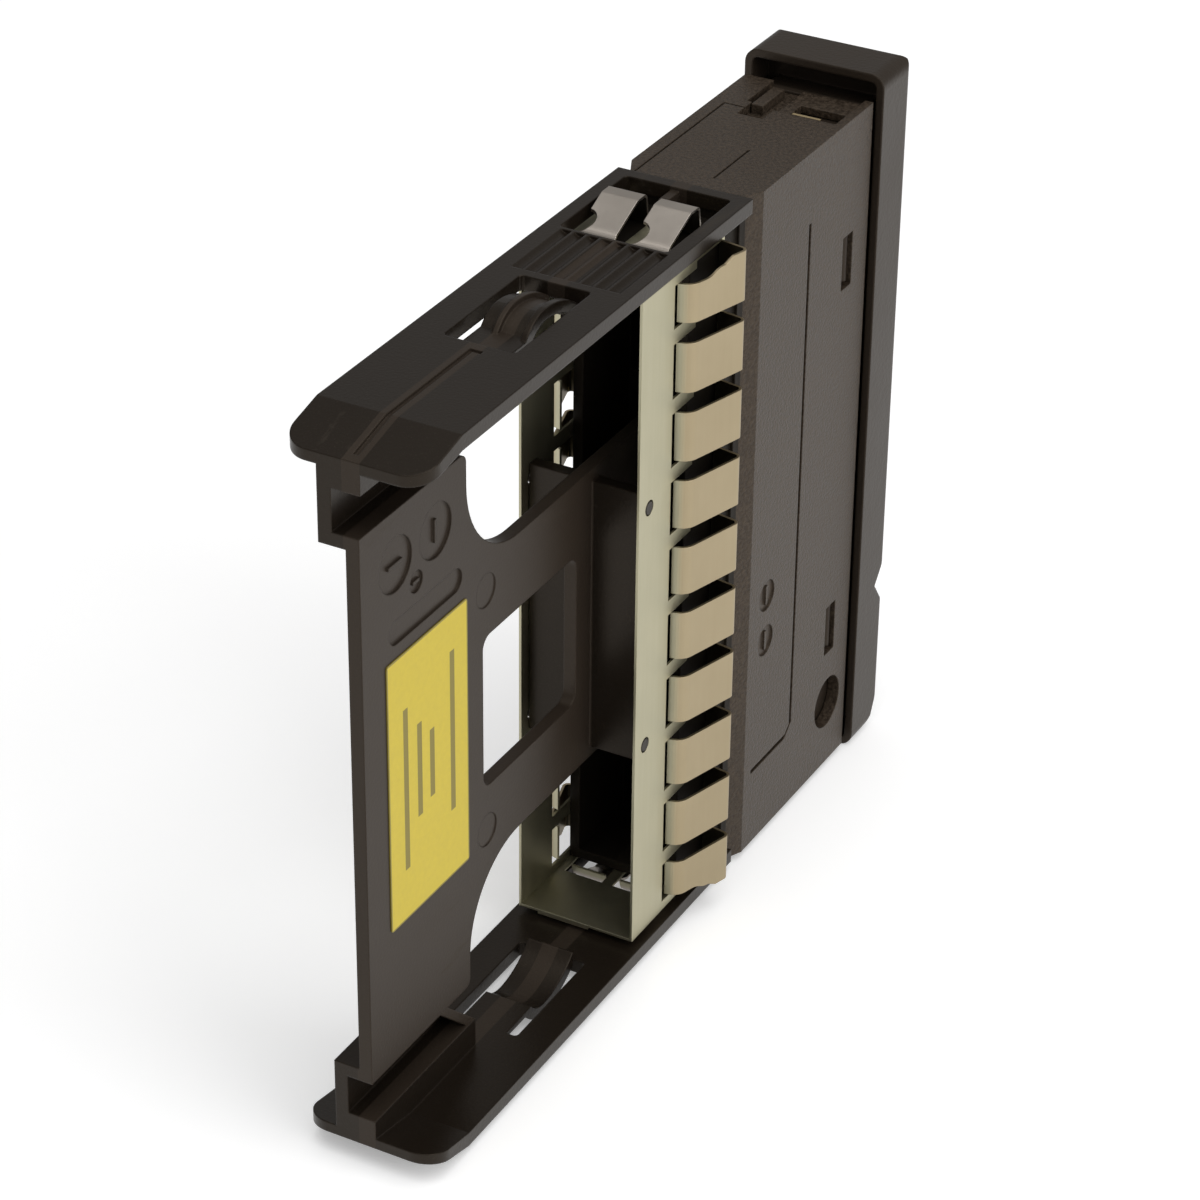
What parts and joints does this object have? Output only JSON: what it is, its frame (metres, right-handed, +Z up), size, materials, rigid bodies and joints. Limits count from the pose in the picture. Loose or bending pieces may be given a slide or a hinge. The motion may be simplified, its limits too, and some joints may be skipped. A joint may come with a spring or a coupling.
{
  "type": "drive bay blank filler",
  "caption": "Blank filler for a drive bay: two guide rails on a plastic web, a sprung metal contact shield, a hollow housing and a narrow bezel.",
  "frame": {"origin": "centre of the bounding box, at the level of the bezel's bottom edge", "axes": "+Z up along the bezel's height, +Y out of the bay through the bezel, +X to the right seen from behind the rails' tips"},
  "size_m": [0.0212, 0.1042, 0.0877],
  "materials": {
    "carrier_plastic": "semi-gloss moulded black",
    "housing_plastic": "fine spark-eroded texture",
    "bezel_plastic": "satin moulded black",
    "shield_sheet": "satin nickel-plated spring sheet",
    "clip_sheet": "satin",
    "label_film": "satin yellow film"
  },
  "bodies": {
    "root": {"carrier": "carrier_plastic", "housing": "housing_plastic", "bezel": "bezel_plastic", "contact_shield": "shield_sheet", "pocket_clip": "clip_sheet", "label": "label_film"}
  },
  "joints": []
}
